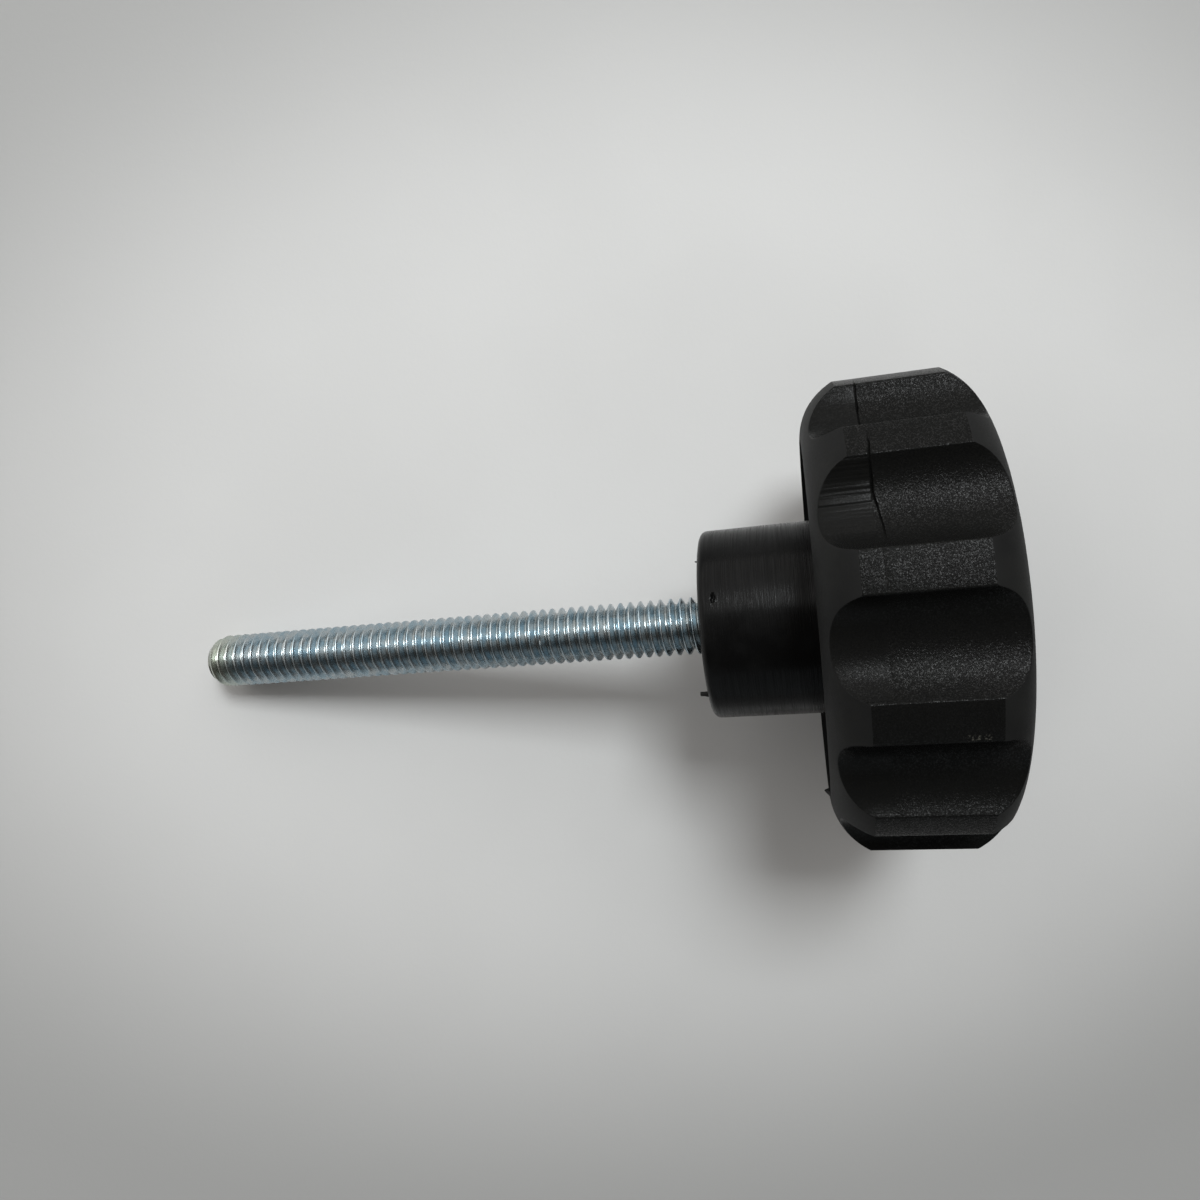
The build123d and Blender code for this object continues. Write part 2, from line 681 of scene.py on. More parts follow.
@dataclass(frozen=True)
class BenchTop:
    """The pale, faintly mottled sheet that the screw lies on, with painted shade that darkens it
    away from a lit middle.
    """

    base: Colour = (0.572, 0.568, 0.563, 1.0)
    cloud: Colour = (0.555, 0.551, 0.546, 1.0)
    # painted shade: the darker colour that the sheet takes towards its edges
    edge: Colour = (0.325, 0.322, 0.318, 1.0)
    middle: Pair = (0.022, 0.006)
    across: float = 0.69
    painted_shade_falloff: Pair = (0.052, 0.118)

    def make(self) -> Material:
        """Build the material.

        Returns:
            The material.
        """
        bench = NodeBench("bench_top")
        place = bench.object_place()
        fibre = bench.noise(place, 900.0, 2.0, 0.6)
        # Painted shade: the colour darkens from a lit middle, wider than it is deep, towards the
        # edges.
        x, y = (
            bench.math("SUBTRACT", part, middle)
            for part, middle in zip(bench.split(place), self.middle)
        )
        away = bench.radius(bench.product(x, self.across), y)
        mottle = bench.band(bench.noise(place, 22.0, 3.0), 0.35, 0.65)
        shaded = bench.blend(mottle, self.base, self.cloud)
        bench.feed(
            Base_Color=bench.blend(bench.band(away, *self.painted_shade_falloff), shaded, self.edge),
            Roughness=0.6,
            Normal=bench.relief(fibre, 0.02),
            Specular_IOR_Level=0.3,
        )
        return bench.material


# ---------------------------------------------------------------------------
# Threaded stud
# ---------------------------------------------------------------------------

@dataclass
class ThreadedStud:
    """The plated stud: its rolled thread, and the shank and head inside the knob.

    The crest's round is given as shares of half the flat, each with its drop, and
    the turns are where the root's round is sampled, in degrees.
    """

    crest_radius: float = 3.925
    root_radius: float = 3.059
    crest_flat: float = 0.17
    crest_round: tuple[Pair, ...] = ((0.0, 0.0), (0.6, 0.004), (1.1, 0.03))
    flank: float = math.radians(30)
    flank_start: float = 0.05
    root_round: float = 0.2
    root_turns: tuple[int, ...] = (30, 50, 70, 90)
    pitch: float = 25.4 / 18
    spare_turns: int = 2
    first_crest: float = 1.02
    phase_angle: float = math.radians(165.0)
    reach: float = 76.2
    chamfer: float = 1.1
    face_radius: float = 2.825
    tip_rounding: float = 2.1
    runout_start: float = 74.9
    runout_swell: float = 0.2
    runout_curve: float = 1.5
    runout_share: float = 0.85
    blank_radius: float = 3.55
    runout: float = 1.5
    shank_length: float = 7.5
    shank_clear: float = 0.01
    shank_overlap: float = 0.4
    head_across_flats: float = 12.7
    head_thickness: float = 5.2
    head_turn: float = math.radians(30)
    head_edge: float = 0.25
    steps: int = 60
    nick_station: float = 53.3
    nick_angle: float = math.radians(181.0)
    nick_span: float = 0.35
    nick_depth: float = 0.22
    nick_above_root: float = 0.3
    finish: BluePassivatedZinc = field(default_factory=BluePassivatedZinc)

    def half_profile(self) -> list[Pair]:
        """Give the thread's form from the middle of a crest to the middle of a root.

        Returns:
            Distances along the axis and radii.
        """
        half_flat, steep = self.crest_flat / 2, math.tan(self.flank)
        sharp = self.crest_radius - (self.pitch / 2 - half_flat) / steep
        centre = sharp + self.root_round / math.sin(self.flank)
        points = [
            (half_flat * share, self.crest_radius - drop) for share, drop in self.crest_round
        ]
        points.append((half_flat + self.flank_start, self.crest_radius - self.flank_start / steep))
        for lean in map(math.radians, self.root_turns):
            points.append((
                self.pitch / 2 - self.root_round * math.cos(lean),
                centre - self.root_round * math.sin(lean),
            ))
        return points

    def rolled_thread(self) -> Piece:
        """Sweep one pitch of the thread's form round the axis, turn after turn.

        Returns:
            A closed threaded rod, longer than the stud at both ends.
        """
        half = self.half_profile()
        form = half + [(self.pitch - x, r) for x, r in half[::-1]][1:]
        end = self.reach + self.runout
        turns = math.ceil(end / self.pitch) + 2 * self.spare_turns
        start = self.first_crest - self.spare_turns * self.pitch
        start -= self.phase_angle / FULL_TURN * self.pitch
        deselect_all()
        bpy.ops.mesh.primitive_plane_add(size=MM, location=(form[0][1] * MM, 0, start * MM))
        rod = bpy.context.object
        with editing(rod):
            bpy.ops.mesh.merge(type="CENTER")
            for (x, r), (next_x, next_r) in zip(form, form[1:]):
                bpy.ops.mesh.extrude_region_move(
                    TRANSFORM_OT_translate={"value": ((next_r - r) * MM, 0, (next_x - x) * MM)}
                )
        bpy.ops.object.transform_apply(location=True, rotation=True, scale=True)
        apply_modifier(
            rod, "SCREW", axis="Z", angle=FULL_TURN, screw_offset=self.pitch * MM,
            iterations=turns, steps=self.steps, render_steps=self.steps,
            use_smooth_shade=True, use_normal_calculate=True,
        )
        close_up(rod)
        with editing(rod):
            cut((0, 0, 0), UP, use_fill=True, clear_inner=True)
            cut((0, 0, end * MM), UP, use_fill=True, clear_outer=True)
        return rod

    def envelope(self, station: float, radius: float) -> float:
        """Hold a point of the thread inside the blank's outline.

        Args:
            station: where the point is along the stud.
            radius: how far from the axis the thread's form puts it.

        Returns:
            Its radius on the finished stud.
        """
        if station < self.tip_rounding:
            drop = (self.crest_radius - self.face_radius) * (1 - station / self.tip_rounding) ** 2
            radius = min(radius, self.crest_radius - drop)
        if station > self.runout_start:
            fade = min(1.0, (station - self.runout_start) / (self.reach - self.runout_start))
            target = self.blank_radius + self.runout_swell * (1 - fade)
            radius += (target - radius) * fade ** self.runout_curve * self.runout_share
        if station >= self.reach:
            radius = min(radius, self.blank_radius)
        return radius

    def shape_ends(self, rod: Piece) -> None:
        """Give the rod its rounded tip, its run-out at the hub and its one nick."""
        for vertex in rod.data.vertices:
            radius, angle, station = polar(vertex.co)
            if radius < ON_AXIS:
                continue
            wanted = self.envelope(station, radius)
            off = math.hypot((angle - self.nick_angle) * radius, station - self.nick_station)
            if off < self.nick_span and radius > self.root_radius + self.nick_above_root:
                wanted -= self.nick_depth * (1 - off / self.nick_span)
            set_radius(vertex, radius, wanted)
        rod.data.update()

    def moulded_end(self) -> Piece:
        """Make the shank and hexagon head that the knob is moulded round.

        Returns:
            The closed hidden end of the stud.
        """
        seat = self.reach + self.runout + self.shank_length
        head = add_solid(
            bpy.ops.mesh.primitive_cylinder_add, vertices=6,
            radius=self.head_across_flats / math.sqrt(3) * MM, depth=self.head_thickness * MM,
            location=(0, 0, (seat + self.head_thickness / 2) * MM), rotation=(0, 0, self.head_turn),
        )
        with editing(head, "EDGE"):
            soften(self.head_edge, 2)
        shank = add_solid(
            bpy.ops.mesh.primitive_cylinder_add, vertices=self.steps,
            radius=(self.blank_radius - self.shank_clear) * MM,
            depth=(self.shank_length + 2 * self.shank_overlap) * MM,
            location=(0, 0, (seat - self.shank_length / 2) * MM),
        )
        combine(head, shank, "UNION")
        return head

    def build(self, axis: ScrewAxis) -> Piece:
        """Model the stud, dress it and put it in its place.

        Args:
            axis: the screw's axis.

        Returns:
            The finished stud.
        """
        rod = self.rolled_thread()
        self.shape_ends(rod)
        close_up(rod)
        combine(rod, self.moulded_end(), "UNION")
        axis.lay_down(rod, "stud_rolled_thread", 38)
        rod.data.materials.clear()
        rod.data.materials.append(self.finish.make(axis))
        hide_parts("threaded_stud")
        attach(rod, "root")
        return rod


# ---------------------------------------------------------------------------
# Knob
# ---------------------------------------------------------------------------

class Surface(Enum):
    """The knob's moulded surfaces, in the order of its material slots."""

    SATIN = 0
    SPARK = 1
    DRAWN = 2


@dataclass
class LobeSection:
    """The knob's outline across its axis, its lobes rounded where lands meet flutes."""

    rim_radius: float = 29.8
    lobes: int = 12
    land_width: float = 4.7
    flute_sink: float = 3.4
    edge_round: float = 0.25
    half_land_steps: int = 3
    edge_steps: int = 4
    half_flute_steps: int = 11

    def flute(self) -> Pair:
        """Work out a flute's arc from the arc that the lands leave.

        Returns:
            The flute's radius and the distance of its centre from the axis.
        """
        half = math.pi / self.lobes - math.asin(self.land_width / 2 / self.rim_radius)
        chord = self.rim_radius * math.sin(half)
        depth = self.rim_radius * math.cos(half) - (self.rim_radius - self.flute_sink)
        radius = (chord ** 2 + depth ** 2) / (2 * depth)
        return radius, self.rim_radius - self.flute_sink + radius

    def half_lobe(self) -> list[Pair]:
        """Trace the outline from the middle of a flute to the middle of a land.

        Returns:
            Angles from the flute's middle, and radii.
        """
        radius, centre = self.flute()
        inner = self.rim_radius - self.edge_round
        outer = radius + self.edge_round
        x = (inner ** 2 - outer ** 2 + centre ** 2) / (2 * centre)
        y = math.sqrt(inner ** 2 - x ** 2)
        to_flute, to_land = math.atan2(-y, centre - x), math.atan2(y, x)
        points = []
        for i in range(self.half_flute_steps):
            turn = math.atan2(y, centre - x) * i / self.half_flute_steps
            points.append((centre - radius * math.cos(turn), radius * math.sin(turn)))
        for i in range(self.edge_steps + 1):
            turn = to_flute + (to_land - to_flute) * i / self.edge_steps
            points.append((
                x + self.edge_round * math.cos(turn), y + self.edge_round * math.sin(turn)
            ))
        trace = [(math.atan2(v, u), math.hypot(u, v)) for u, v in points]
        start, middle = trace[-1][0], math.pi / self.lobes
        for i in range(1, self.half_land_steps + 1):
            trace.append((start + (middle - start) * (i / self.half_land_steps), self.rim_radius))
        return trace

    def outline(self) -> tuple[np.ndarray, np.ndarray]:
        """Trace the whole outline once round, its first point given again at the end.

        Returns:
            Angles and radii.
        """
        half, lobe_turn = self.half_lobe(), FULL_TURN / self.lobes
        lobe = half + [(lobe_turn - a, r) for a, r in half[-2:0:-1]]
        angles = [a + i * FULL_TURN / self.lobes for i in range(self.lobes) for a, _ in lobe]
        radii = [r for _ in range(self.lobes) for _, r in lobe]
        return np.array(angles + [FULL_TURN]), np.array(radii + [radii[0]])


@dataclass
class RingStack:
    """Rings round the screw's axis, one after another along the knob's skin."""

    angles: np.ndarray
    stations: list[np.ndarray] = field(default_factory=list)
    radii: list[np.ndarray] = field(default_factory=list)
    surfaces: list[int] = field(default_factory=list)

    def add(self, surface: Surface, *rings: tuple[object, object]) -> None:
        """Add rings, and say what surface leads up to them.

        Args:
            surface: the surface between the last ring and each new one.
            rings: stations and radii, each one number or one for each angle.
        """
        whole = np.ones_like(self.angles)
        for station, radius in rings:
            self.stations.append(station * whole)
            self.radii.append(radius * whole)
            self.surfaces.append(surface.value)

    def points(self) -> np.ndarray:
        """Give the rings' points in metres, ring by ring."""
        z, r = np.array(self.stations), np.array(self.radii)
        x, y = r * np.cos(self.angles), r * np.sin(self.angles)
        return np.stack((x, y, z), axis=-1) * MM


@dataclass(frozen=True)
class PartingLine:
    """The mould's parting line, a hair's breadth and torn open in two flutes.

    Each tear has its middle and reach in degrees round the axis, and its depth. The
    form gives shares of the gape along the screw, each with its share of the depth.
    """

    hair: float = 0.02
    lead: float = 0.3
    trail: float = 0.16
    tears: tuple[Triple, ...] = (
        (112.0, 4.5, 0.42), (118.5, 6.5, 0.22), (142.5, 8.5, 0.40), (151.0, 9.0, 0.20)
    )
    form: tuple[Pair, ...] = (
        (-0.15, 0.1), (-0.055, 0.85), (0.0, 1.0), (0.05, 0.7), (0.13, 0.0)
    )
    hair_gape: float = 0.55
    torn_gape: float = 1.6
    wander_reach: float = 0.22
    drift: float = 0.7
    drift_from: float = 144.0
    drift_over: float = 10.0
    ragged: Pair = (0.9, 0.8)
    fine_waves: float = 22.0
    long_waves: float = 14.0
    strays_from: float = 0.15
    drifts_from: float = 0.06

    def depth(self, angles: np.ndarray) -> np.ndarray:
        """Give the line's depth at each angle."""
        depth = np.full_like(angles, self.hair)
        for i, angle in enumerate(angles):
            round_it = Vector((math.cos(angle), math.sin(angle), 0.0))
            chance = noise.noise(round_it * self.fine_waves)
            depth[i] += self.hair * chance
            for middle, reach, deep in self.tears:
                off = abs(math.degrees(angle) - middle) / reach
                if off < 1:
                    torn = deep * (1 - off ** 3) * (self.ragged[0] + self.ragged[1] * chance)
                    depth[i] = max(depth[i], torn)
        return depth

    def wander(self, angles: np.ndarray, depth: np.ndarray) -> np.ndarray:
        """Give how far a torn line strays along the screw.

        Args:
            angles: the section's angles.
            depth: the line's depth at each of them.

        Returns:
            The shift at each angle.
        """
        waves = self.long_waves
        shift = np.array([
            self.wander_reach * noise.noise(Vector((5.0, math.cos(a) * waves, math.sin(a) * waves)))
            for a in angles
        ]) * np.minimum(1.0, depth / self.strays_from)
        past = np.clip((np.degrees(angles) - self.drift_from) / self.drift_over, 0.0, 1.0)
        return shift + self.drift * past * (depth > self.drifts_from)

    def rings(self, angles: np.ndarray, place: float, outline: np.ndarray) -> Iterator[tuple]:
        """Give the rings that sink the line into the lands and flutes.

        Args:
            angles: the section's angles.
            place: the line's station.
            outline: the section's radii.

        Yields:
            Stations and radii.
        """
        depth = self.depth(angles)
        wander = self.wander(angles, depth)
        gape = self.hair_gape + self.torn_gape * depth
        for shift, sink in self.form:
            yield place + shift * gape + wander, outline - depth * sink


@dataclass(frozen=True)
class FlashPeg:
    """A torn peg of flash that stands on the hub's free end."""

    radius: float
    angle: float
    length: float
    thickness: float
    waist: float = 0.45
    waist_size: Triple = (0.55, 0.62, 1.0)
    waist_lean: Pair = (0.08, 0.08)
    end_size: Triple = (0.45, 0.62, 1.0)
    end_lean: Pair = (0.12, 0.1)
    rooted: float = 0.5

    def narrow(self, place: Vector, size: Triple, lean: Pair) -> None:
        """Narrow what is selected in edit mode, and let it lean.

        Args:
            place: the point that it narrows about.
            size: its new share of its size.
            lean: how far it leans.
        """
        bpy.ops.transform.resize(value=size, center_override=place * MM)
        bpy.ops.transform.translate(value=Vector((*lean, 0)) * MM)

    def build(self, hub_face: float) -> Piece:
        """Make the peg.

        Args:
            hub_face: the station of the face that it stands on.

        Returns:
            The closed peg.
        """
        angle = math.radians(self.angle)
        foot = Vector((self.radius * math.cos(angle), self.radius * math.sin(angle), hub_face))
        peg = add_solid(
            bpy.ops.mesh.primitive_cylinder_add, vertices=10, radius=self.thickness / 2 * MM,
            depth=(self.length + self.rooted) * MM,
            location=(foot + Vector((0, 0, (self.rooted - self.length) / 2))) * MM,
        )
        waist = foot - UP * (self.length * self.waist)
        with editing(peg):
            cut(waist * MM, UP)
            select_where(peg, "EDGE", lambda mid, way: abs(mid.z - waist.z * MM) < 0.01 * MM)
            self.narrow(waist, self.waist_size, self.waist_lean)
            select_where(peg, "FACE", lambda mid, way: way.z < -0.9)
            self.narrow(foot - UP * self.length, self.end_size, self.end_lean)
            soften(0.08, 2)
        return peg


@dataclass
class Knob:
    """The moulded hand knob: hub, lobed rim, crowned front and ribbed hollow back."""

    section: LobeSection = field(default_factory=LobeSection)
    hub_face: float = 76.2
    hub_radius: float = 12.6
    hub_length: float = 13.9
    hub_draft: float = math.radians(0.2)
    hub_edge: float = 0.9
    hub_edge_steps: int = 6
    face_rings: Triple = (5.0, 7.5, 10.0)
    edge_leads: Triple = (0.35, 0.12, 0.0)
    side_rings: int = 8
    hub_root_round: float = 0.35
    hub_root_steps: int = 3
    rim_width: float = 20.89
    shoulder_radius: float = 7.9
    shoulder_run: float = 4.3
    shoulder_steps: int = 12
    front_crown: float = 0.8
    front_steps: int = 9
    crease_round: float = 0.22
    crease_steps: int = 4
    land_steps: tuple[int, int] = (3, 12)
    parting_set: float = 2.3
    parting_line: PartingLine = field(default_factory=PartingLine)
    rim_wall: float = 3.1
    recess_radii: Pair = (16.0, 19.5)
    recess_leads: Pair = (0.6, 0.5)
    recess_edge: float = 0.1
    recess_lip: float = 0.08
    front_wall: float = 4.0
    pocket_draft: float = math.radians(1.0)
    pocket_corner: float = 1.2
    corner_reach: float = 0.35
    pocket_floor_round: float = 0.7
    pocket_proud: float = 0.3
    hub_clear: float = 0.12
    ribs: int = 6
    rib_thickness: float = 2.4
    rib_setback: float = 1.6
    mouth_radius: float = 3.76
    mouth_edge: float = 0.1
    mouth_break: float = 0.12
    pit_station: float = 78.2
    pit_angle: float = math.radians(158.2)
    pit_rings: int = 4
    pit_ring_gap: float = 0.14
    pit_skin: Pair = (-0.1, 0.2)
    pit_size: Pair = (0.30, 0.62)
    pit_slant: float = 0.25
    pit_depth: float = 0.34
    pit_round: float = 0.7
    pit_lip: float = 0.05
    pit_lip_middle: float = 1.25
    pit_lip_half: float = 0.25
    nib_angle: float = math.radians(268.5)
    nib_reach: float = 0.028
    nib_radii: Pair = (23.1, 24.4)
    nib_foot: float = 0.25
    nib_sharpness: float = 1.2
    nib_slope: float = 0.95
    nib_height: float = 0.75
    nib_lean: float = 0.35 * math.cos(math.radians(20))
    seat_radius: float = 3.55
    seat_start: float = 77.7
    head_seat: float = 85.2
    head_end: float = 90.4
    head_apothem: float = 6.35
    pegs: tuple[FlashPeg, ...] = (FlashPeg(11.65, 222, 1.0, 0.95), FlashPeg(11.5, 129, 0.3, 0.3))
    satin: SatinNylon = field(default_factory=SatinNylon)
    spark: SparkErodedNylon = field(default_factory=SparkErodedNylon)
    drawn: DrawnNylon = field(default_factory=DrawnNylon)

    def __post_init__(self) -> None:
        """Work out the sizes that follow from the others."""
        reach = self.shoulder_radius - self.shoulder_run
        rise = math.sqrt(self.shoulder_radius ** 2 - reach ** 2)
        self.shoulder_centre = self.section.rim_radius - rise
        self.rim_back = self.hub_face + self.hub_length
        self.rim_front = self.rim_back + self.rim_width
        self.pocket_radius = self.section.rim_radius - self.section.flute_sink - self.rim_wall
        self.parting = self.rim_back + self.shoulder_run + self.parting_set

    # ---- skin ------------------------------------------------------------

    def seat_rings(self, stack: RingStack) -> None:
        """Line the seat of the stud's shank and hexagon head."""
        side = math.pi / 3
        hexagon = self.head_apothem / np.cos(np.mod(stack.angles, side) - side / 2)
        stack.add(
            Surface.SATIN, (self.head_end, 0.0), (self.head_end, hexagon),
            (self.head_seat, hexagon), (self.head_seat, self.seat_radius),
            (self.seat_start, self.seat_radius),
            (self.hub_face + self.mouth_edge, self.mouth_radius),
        )

    def hub_side(self, station: float) -> float:
        """Give the radius of the hub's drafted side at a station."""
        return self.hub_radius + (station - self.hub_face) * math.tan(self.hub_draft)

    def hub_rings(self, stack: RingStack) -> None:
        """Shape the hub's face, its rounded edge, its drafted side and its root round."""
        flat = self.hub_radius - self.hub_edge
        face = [self.mouth_radius + self.mouth_break, *self.face_rings]
        face += [flat - lead for lead in self.edge_leads]
        stack.add(Surface.DRAWN, *((self.hub_face, radius) for radius in face))
        for i in range(1, self.hub_edge_steps + 1):
            turn = QUARTER_TURN * i / self.hub_edge_steps
            stack.add(Surface.DRAWN, (
                self.hub_face + self.hub_edge * (1 - math.cos(turn)),
                flat + self.hub_edge * math.sin(turn),
            ))
        start = self.hub_face + self.hub_edge
        end = self.rim_back + self.rib_setback - self.hub_root_round
        rings = [start + (end - start) * i / self.side_rings for i in range(1, self.side_rings + 1)]
        beside = range(-self.pit_rings, self.pit_rings + 1)
        rings += [self.pit_station + i * self.pit_ring_gap for i in beside]
        stack.add(Surface.DRAWN, *((station, self.hub_side(station)) for station in sorted(rings)))
        for i in range(1, self.hub_root_steps + 1):
            turn = QUARTER_TURN * i / self.hub_root_steps
            stack.add(Surface.SATIN, (
                end + self.hub_root_round * math.sin(turn),
                self.hub_side(end) + self.hub_root_round * (1 - math.cos(turn)),
            ))

    def recess_rings(self, stack: RingStack) -> None:
        """Shape the sunk ring of the ribs' ends and the wall up to the rim's back edge."""
        floor, wall = self.rim_back + self.rib_setback, self.pocket_radius
        from_wall, from_floor = self.recess_leads
        radii = (*self.recess_radii, wall - from_wall, wall)
        stack.add(Surface.SATIN, *((floor, radius) for radius in radii))
        stack.add(
            Surface.SATIN, (floor - from_floor, wall), (self.rim_back + self.recess_edge, wall)
        )

    def shoulder(self, outline: np.ndarray, begin: float) -> list[tuple[np.ndarray, np.ndarray]]:
        """Follow a shoulder from its face, and the small round up to lands and flutes.

        Args:
            outline: the section's radii.
            begin: how far round the shoulder's arc it starts, 0 on the face.

        Returns:
            Depths from the face and radii, first on the arc and then on the round.
        """
        lift = self.crease_round
        height = outline - lift - self.shoulder_centre
        depth = np.sqrt((self.shoulder_radius - lift) ** 2 - height ** 2)
        start, centre = np.arctan2(height, depth), self.shoulder_radius - depth
        points = []
        for i in range(self.shoulder_steps + 1):
            turn = begin + (start - begin) * i / self.shoulder_steps
            points.append((
                self.shoulder_radius * (1 - np.cos(turn)),
                self.shoulder_centre + self.shoulder_radius * np.sin(turn),
            ))
        for i in range(1, self.crease_steps + 1):
            turn = start + (QUARTER_TURN - start) * i / self.crease_steps
            points.append((centre - lift * np.cos(turn), outline - lift + lift * np.sin(turn)))
        return points

    def rim_rings(self, stack: RingStack, outline: np.ndarray) -> None:
        """Shape the shoulders, and the lands and flutes between them.

        Args:
            stack: the rings so far.
            outline: the section's radii.
        """
        inside = self.pocket_radius + self.recess_lip - self.shoulder_centre
        back = self.shoulder(outline, math.asin(inside / self.shoulder_radius))
        front = self.shoulder(outline, 0.0)
        half = self.crease_steps // 2
        surfaces = [Surface.SATIN] * (len(back) - half) + [Surface.SPARK] * half
        for surface, (depth, radius) in zip(surfaces, back):
            stack.add(surface, (self.rim_back + depth, radius))
        land_back, land_front = self.rim_back + back[-1][0], self.rim_front - front[-1][0]
        line, (back_steps, front_steps) = self.parting_line, self.land_steps
        before, after = self.parting - line.lead, self.parting + line.trail
        for i in range(1, back_steps + 1):
            stack.add(Surface.SPARK, (land_back + (before - land_back) * i / back_steps, outline))
        stack.add(Surface.SPARK, *line.rings(stack.angles, self.parting, outline))
        for i in range(1, front_steps + 1):
            stack.add(Surface.SPARK, (after + (land_front - after) * i / front_steps, outline))
        for surface, (depth, radius) in zip(surfaces[:0:-1], front[-2::-1]):
            stack.add(surface, (self.rim_front - depth, radius))

    def front_rings(self, stack: RingStack) -> None:
        """Shape the crowned front face."""
        for i in range(1, self.front_steps + 1):
            radius = self.shoulder_centre * (1 - i / self.front_steps)
            crown = self.front_crown * (1 - (radius / self.shoulder_centre) ** 2)
            stack.add(Surface.SATIN, (self.rim_front + crown, radius))

    def skin(self) -> Piece:
        """Roll one sheet of rings round the axis into the knob's closed skin.

        The rings follow the flutes over the shoulders, so that every crease has its
        small round; cut edges would be crossed by facets and could not be rounded.

        Returns:
            The closed skin, its faces marked with their surfaces.
        """
        angles, outline = self.section.outline()
        stack = RingStack(angles)
        self.seat_rings(stack)
        self.hub_rings(stack)
        self.recess_rings(stack)
        self.rim_rings(stack, outline)
        self.front_rings(stack)
        skin = add_sheet("knob_skin", stack.points())
        for _ in Surface:
            skin.data.materials.append(bpy.data.materials.new("slot"))
        corners = np.empty(len(skin.data.loops), dtype=np.int32)
        skin.data.loops.foreach_get("vertex_index", corners)
        rows = corners.reshape(-1, 4).min(axis=1) // len(angles)
        kinds = np.array(stack.surfaces[1:], dtype=np.int32)
        skin.data.polygons.foreach_set("material_index", kinds[rows])
        self.raise_nib(skin)
        self.press_pit(skin)
        close_up(skin)
        return skin

    def press_pit(self, skin: Piece) -> None:
        """Press the small torn pit into the hub's side, its lip a little raised."""
        length, width = self.pit_size
        under, over = (self.hub_radius + margin for margin in self.pit_skin)
        for vertex in skin.data.vertices:
            radius, angle, station = polar(vertex.co)
            along = (station - self.pit_station) / length
            if abs(along) > 2 or not under < radius < over:
                continue
            round_it = (angle - self.pit_angle) * radius / width
            off = math.hypot(along, round_it + self.pit_slant * along)
            past = abs(off - self.pit_lip_middle) / self.pit_lip_half
            if off < 1:
                sink = self.pit_depth * (1 - off ** 2) ** self.pit_round
                set_radius(vertex, radius, radius - sink)
            elif past < 1:
                set_radius(vertex, radius, radius + self.pit_lip * (1 - past))

    def raise_nib(self, skin: Piece) -> None:
        """Pull a sharp nib of flash out of the rim's back edge."""
        inner, outer = self.nib_radii
        for vertex in skin.data.vertices:
            radius, angle, station = polar(vertex.co)
            off = abs(angle - self.nib_angle) / self.nib_reach
            near = abs(station - self.rim_back) <= self.nib_foot
            if off < 1 and near and inner < radius < outer:
                slope = min(1.0, (outer - radius) / self.nib_slope)
                rise = (1 - off) ** self.nib_sharpness * slope
                vertex.co.z -= self.nib_height * rise * MM
                vertex.co.x -= self.nib_lean * rise * MM

    # ---- hollow back -----------------------------------------------------

    def pocket(self) -> Piece:
        """Make the core that leaves one pocket between two ribs.

        Returns:
            A closed drafted core, a little proud of the ribs' ends.
        """
        mouth = self.rim_back + self.rib_setback - self.pocket_proud
        end = self.rim_back + self.rim_width - self.front_wall
        depth, middle = end - mouth, (0, 0, (mouth + end) / 2 * MM)
        slope = math.tan(self.pocket_draft)
        outer = self.pocket_radius - (mouth - self.rim_back) * slope
        inner = self.hub_radius + self.hub_length * math.tan(self.hub_draft) + self.hub_clear
        core = add_solid(
            bpy.ops.mesh.primitive_cone_add, vertices=192, radius1=outer * MM,
            radius2=(outer - depth * slope) * MM, depth=depth * MM, location=middle,
        )
        first = math.pi / self.section.lobes
        with editing(core):
            for edge, way in ((first, 1), (first + FULL_TURN / self.ribs, -1)):
                normal = Vector((-math.sin(edge) * way, math.cos(edge) * way, 0))
                place = normal * (self.rib_thickness / 2 * MM)
                place.z = self.rim_back * MM
                cut(place, (normal - UP * slope).normalized(), use_fill=True, clear_inner=True)
        hub = add_solid(
            bpy.ops.mesh.primitive_cone_add, vertices=144, radius1=(inner - slope) * MM,
            radius2=(inner + (depth + 1) * slope) * MM, depth=(depth + 2) * MM, location=middle,
        )
        combine(core, hub, "DIFFERENCE")
        close_up(core)
        near_floor = (end - 0.1) * MM
        with editing(core):
            bpy.ops.mesh.dissolve_limited(angle_limit=math.radians(0.2))
            select_where(
                core, "EDGE", lambda mid, way: abs(way.z) > 0.99 and self.is_corner(mid)
            )
            soften(self.pocket_corner, 6, clamp_overlap=True)
            select_where(core, "FACE", lambda mid, way: way.z > 0.9 and mid.z > near_floor)
            bpy.ops.mesh.region_to_loop()
            soften(self.pocket_floor_round, 4, clamp_overlap=True)
        return core

    def is_corner(self, place: Vector) -> bool:
        """Tell whether a point of a pocket's core lies on one of its four corners."""
        radius, angle, _ = polar(place)
        edge, step = math.pi / self.section.lobes, FULL_TURN / self.ribs
        return min(
            abs(radius * math.sin(turn) - self.rib_thickness / 2)
            for turn in (angle - edge, edge + step - angle)
        ) < self.corner_reach

    def hollow(self, skin: Piece) -> None:
        """Cut the pockets between the ribs."""
        first = self.pocket()
        cores = [first]
        for i in range(1, self.ribs):
            core = first.copy()
            core.data = first.data.copy()
            bpy.context.scene.collection.objects.link(core)
            core.data.transform(Matrix.Rotation(FULL_TURN * i / self.ribs, 4, "Z"))
            cores.append(core)
        pick(first)
        for core in cores:
            core.select_set(True)
        bpy.ops.object.join()
        combine(skin, first, "DIFFERENCE")

    def build(self, axis: ScrewAxis) -> Piece:
        """Model the knob, dress it and put it in its place.

        Args:
            axis: the screw's axis.

        Returns:
            The finished knob.
        """
        knob = self.skin()
        self.hollow(knob)
        for peg in self.pegs:
            combine(knob, peg.build(self.hub_face), "UNION")
        axis.lay_down(knob, "knob_moulding", 32)
        for slot, finish in enumerate((self.satin, self.spark, self.drawn)):
            knob.data.materials[slot] = finish.make(axis)
        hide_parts("knob")
        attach(knob, "root")
        return knob


# ---------------------------------------------------------------------------
# Bench, light and camera
# ---------------------------------------------------------------------------

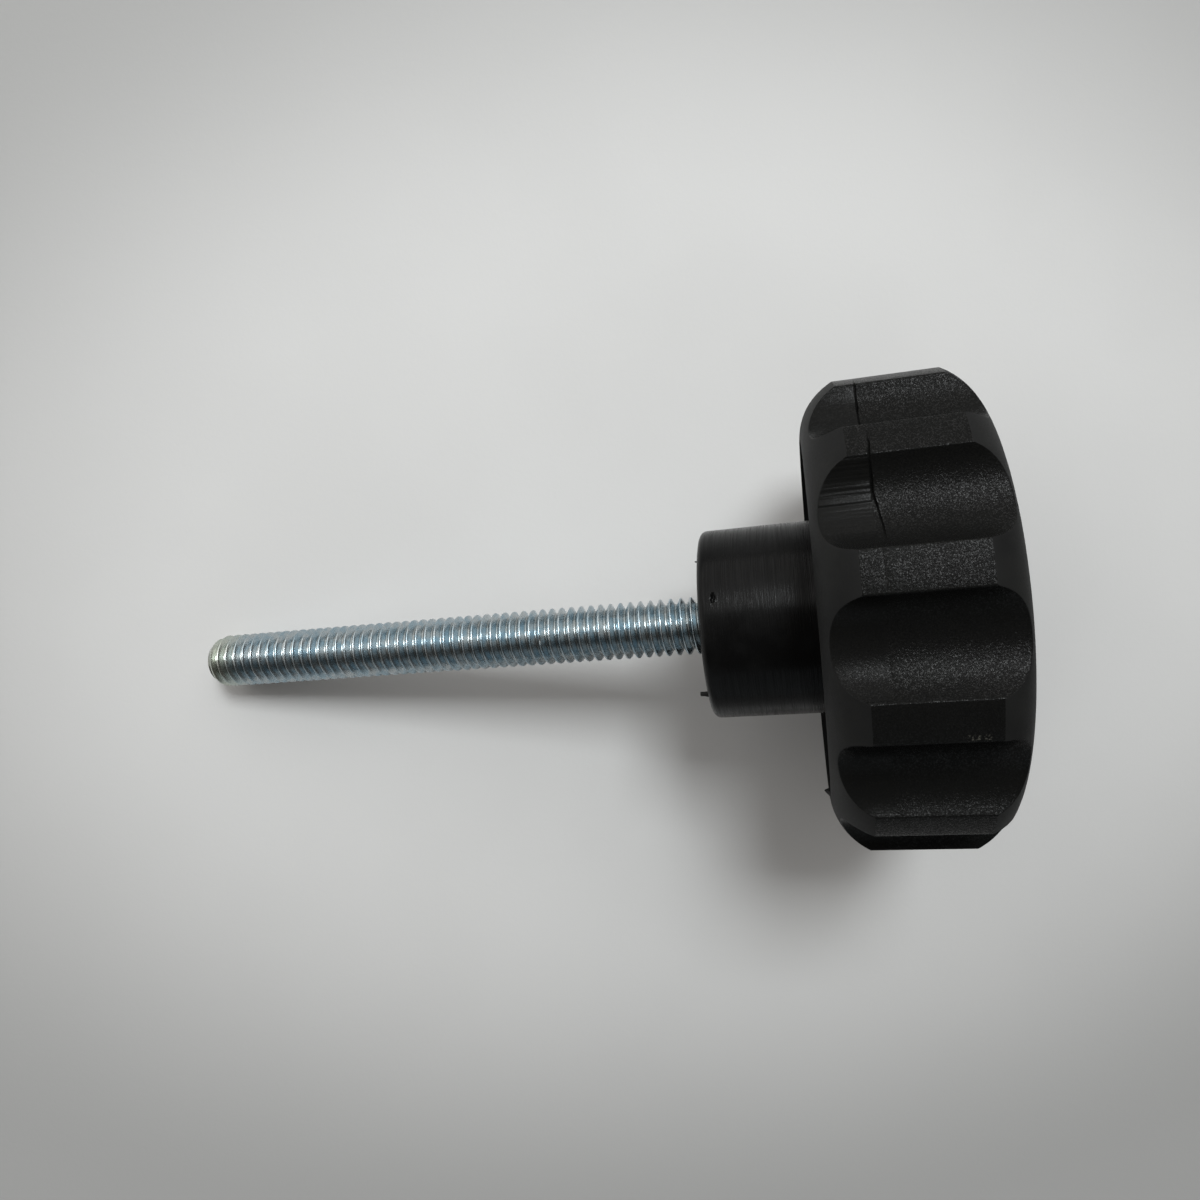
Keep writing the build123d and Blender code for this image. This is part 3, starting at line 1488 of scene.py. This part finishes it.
SKY: Triple = (0.94, 0.985, 1.0)
WHITE_BOARD: Triple = (1.0, 0.99, 0.968)
PAINTED_WALL: Triple = (0.84, 0.945, 1.0)


@dataclass(frozen=True)
class Panel:
    """A soft rectangular light that faces the screw, its angles in degrees."""

    name: str
    turn: float
    height: float
    away: float
    size: Pair
    watts: float
    colour: Triple

    def hang(self, aim: Vector) -> None:
        """Hang the light.

        Args:
            aim: the point that it faces, in metres.
        """
        panel = bpy.data.lights.new(self.name, "AREA")
        panel.shape = "RECTANGLE"
        panel.size, panel.size_y = self.size
        panel.energy, panel.color = self.watts, self.colour
        lamp = bpy.data.objects.new(self.name, panel)
        bpy.context.scene.collection.objects.link(lamp)
        around, up = math.radians(self.turn), math.radians(self.height)
        lamp.location = self.away * Vector((
            math.cos(up) * math.cos(around), math.cos(up) * math.sin(around), math.sin(up)
        ))
        lamp.rotation_euler = (aim - lamp.location).to_track_quat("-Z", "Y").to_euler()


@dataclass
class Studio:
    """The pale bench top, the soft light over it, and the camera."""

    bench_side: float = 1.6
    camera_place: Triple = (-0.001385, 0.015111, 0.138621)
    camera_turn: Triple = (-4.810, -2.631, -6.017)
    sensor: float = 36.0
    lens: float = 25.77
    nearest: float = 0.005
    lit_middle: Triple = (0.02, 0.0, 0.0)
    room_colour: Colour = (0.060, 0.052, 0.046, 1.0)
    panels: tuple[Panel, ...] = (
        Panel("window", 77.0, 58.0, 1.0, (0.30, 0.30), 7.1, SKY),
        Panel("bounce_board", 92.0, 34.0, 1.15, (2.4, 1.45), 15.4, WHITE_BOARD),
        Panel("wall", 158.0, 36.0, 1.0, (1.0, 1.0), 2.4, WHITE_BOARD),
        Panel("side_wall", 190.0, 14.0, 1.2, (1.6, 0.6), 1.0, WHITE_BOARD),
        Panel("far_wall", 270.0, 17.0, 1.2, (2.4, 0.8), 2.4, PAINTED_WALL),
    )
    finish: BenchTop = field(default_factory=BenchTop)

    def lay_bench(self) -> None:
        """Lay the bench top under the screw."""
        deselect_all()
        bpy.ops.mesh.primitive_plane_add(size=self.bench_side)
        bench = bpy.context.object
        bench.name = bench.data.name = "bench_top"
        bench.data.materials.append(self.finish.make())

    def light_room(self) -> None:
        """Hang the soft panels round the screw, in a dim room."""
        world = bpy.data.worlds.new("room")
        world.use_nodes = True
        world.node_tree.nodes["Background"].inputs[0].default_value = self.room_colour
        bpy.context.scene.world = world
        for panel in self.panels:
            panel.hang(Vector(self.lit_middle))

    def set_camera(self) -> None:
        """Set the camera over the screw."""
        camera = bpy.data.cameras.new("camera")
        camera.sensor_width, camera.lens = self.sensor, self.lens
        camera.clip_start = self.nearest
        stand = bpy.data.objects.new("camera", camera)
        bpy.context.scene.collection.objects.link(stand)
        stand.location = self.camera_place
        stand.rotation_euler = tuple(math.radians(turn) for turn in self.camera_turn)
        bpy.context.scene.camera = stand

    def build(self) -> None:
        """Set up bench, light and camera."""
        self.lay_bench()
        self.light_room()
        self.set_camera()
        bpy.context.scene.view_settings.view_transform = "Standard"


def main() -> None:
    """Build the clamping screw piece by piece and set it in its studio."""
    logging.basicConfig(level=logging.INFO, format="%(name)s: %(message)s")
    stud = ThreadedStud()
    axis = ScrewAxis.from_record(frame["record"], stud.chamfer)
    for piece in (stud.build(axis), Knob().build(axis)):
        log.info("%s: %d faces", piece.name, len(piece.data.polygons))
    Studio().build()
    log.info("bench, light and camera set")


if __name__ == "__main__":
    main()
